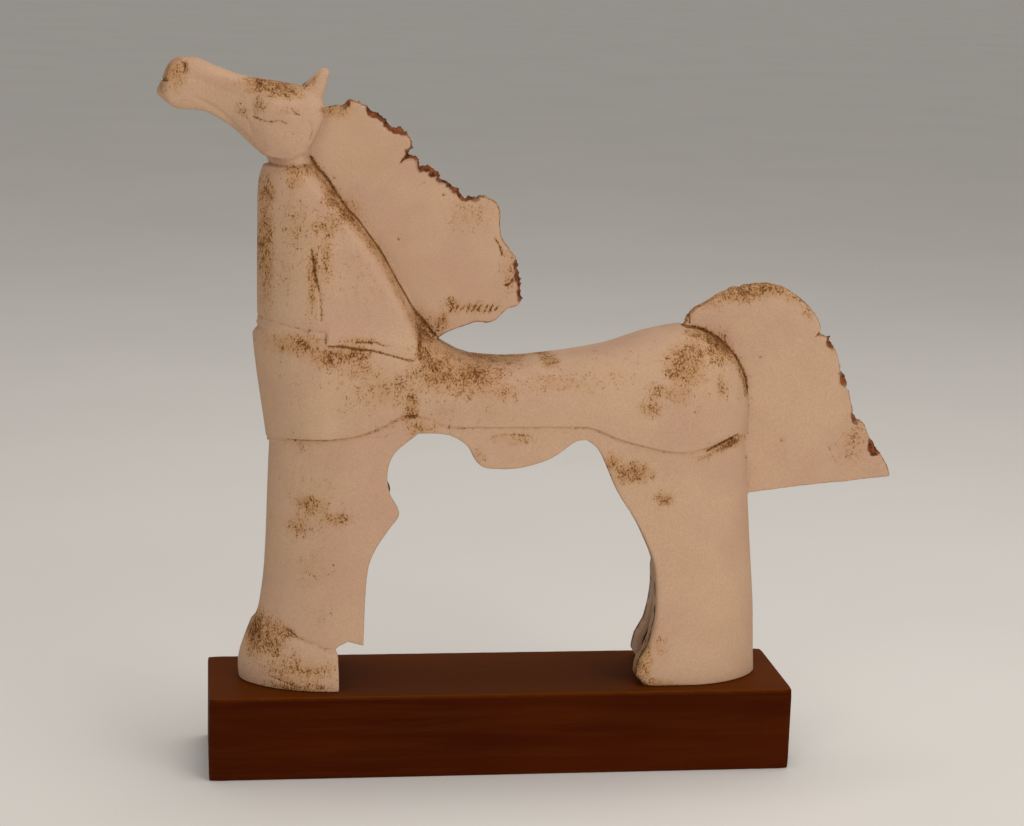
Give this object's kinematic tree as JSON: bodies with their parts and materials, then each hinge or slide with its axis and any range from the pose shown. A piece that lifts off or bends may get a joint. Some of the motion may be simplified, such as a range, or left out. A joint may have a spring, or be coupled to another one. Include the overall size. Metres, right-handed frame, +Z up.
{
  "type": "haniwa-style horse statue",
  "caption": "Slab-built ceramic horse in the haniwa manner, hollow and open between its legs, with a flat mane and tail, standing on a plain wooden block.",
  "frame": {"origin": "centre of the wooden block's flat underside, where the work stands", "axes": "+Z up, +X along the horse from its head to its tail, +Y to the side away from the picture's camera"},
  "size_m": [0.5519, 0.1, 0.5233],
  "materials": {
    "slip_coated_clay": "matte pale pinkish slip over red-brown clay, stained brown in its pits and grooves",
    "dark_hardwood": "satin dark reddish brown, fine straight grain"
  },
  "bodies": {
    "root": {"horse": "slip_coated_clay", "block": "dark_hardwood"}
  },
  "joints": []
}
